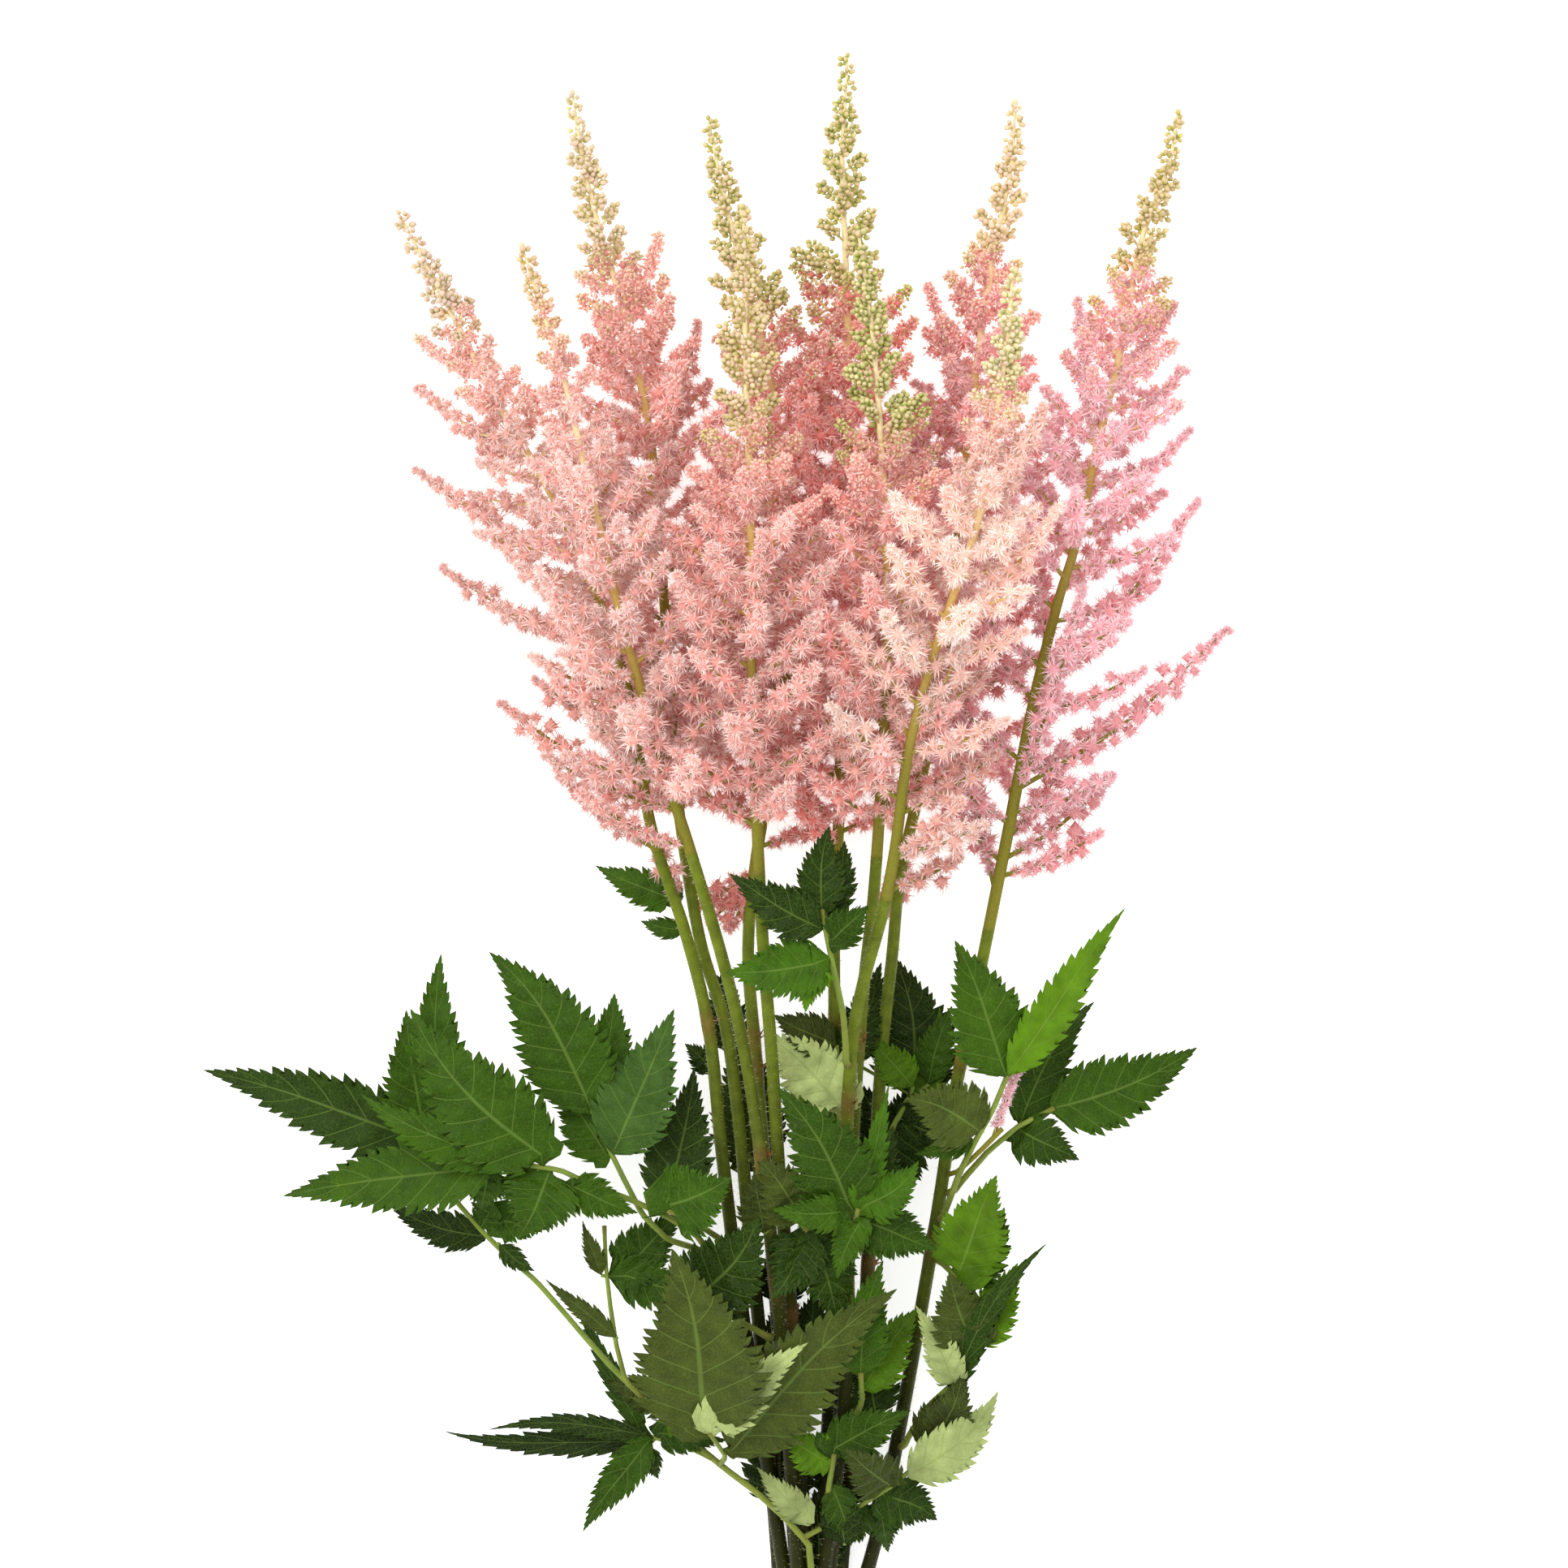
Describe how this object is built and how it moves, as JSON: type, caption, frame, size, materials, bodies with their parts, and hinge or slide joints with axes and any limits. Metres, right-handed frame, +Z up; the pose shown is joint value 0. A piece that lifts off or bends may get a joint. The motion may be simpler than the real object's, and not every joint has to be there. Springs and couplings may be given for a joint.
{
  "type": "astilbe plant",
  "caption": "Bunch of cut astilbe stems with feathery plumes, bud spires and toothed leaves, lying on a flat surface.",
  "frame": {"origin": "middle of the bunch's box, on the surface that it lies on", "axes": "+Y from the cut ends towards the flower tips, +Z up from the surface, +X to the right seen from above"},
  "size_m": [0.3958, 0.6108, 0.144],
  "materials": {
    "stem_green": "finely hairy olive green stem",
    "floret_pink": "soft fuzzy pink florets",
    "bud_green": "small yellow-green buds with pink tips",
    "leaf_green": "veined green leaf with a soft sheen"
  },
  "bodies": {
    "root": {"stem_a": "stem_green", "stem_b": "stem_green", "stem_c": "stem_green", "stem_d": "stem_green", "stem_e": "stem_green", "stem_f": "stem_green", "stem_g": "stem_green", "stem_h": "stem_green", "stem_i": "stem_green", "stem_j": "stem_green", "plume_a": "floret_pink", "plume_b": "floret_pink", "plume_c": "floret_pink", "plume_d": "floret_pink", "plume_e": "floret_pink", "plume_f": "floret_pink", "plume_g": "floret_pink", "plume_h": "floret_pink", "plume_i": "floret_pink", "plume_j": "floret_pink", "bud_spire_a": "bud_green", "bud_spire_b": "bud_green", "bud_spire_c": "bud_green", "bud_spire_d": "bud_green", "bud_spire_e": "bud_green", "bud_spire_f": "bud_green", "bud_spire_g": "bud_green", "bud_spire_h": "bud_green", "bud_spire_i": "bud_green", "bud_spire_j": "bud_green", "leaf_01": "leaf_green", "leaf_02": "leaf_green", "leaf_03": "leaf_green", "leaf_04": "leaf_green", "leaf_05": "leaf_green", "leaf_06": "leaf_green", "leaf_07": "leaf_green", "leaf_08": "leaf_green", "leaf_09": "leaf_green", "leaf_10": "leaf_green", "leaf_11": "leaf_green", "leaf_12": "leaf_green", "leaf_13": "leaf_green", "leaf_14": "leaf_green", "leaf_15": "leaf_green", "leaf_16": "leaf_green", "leaf_17": "leaf_green", "leaf_18": "leaf_green", "low_spray": "floret_pink"}
  },
  "joints": []
}
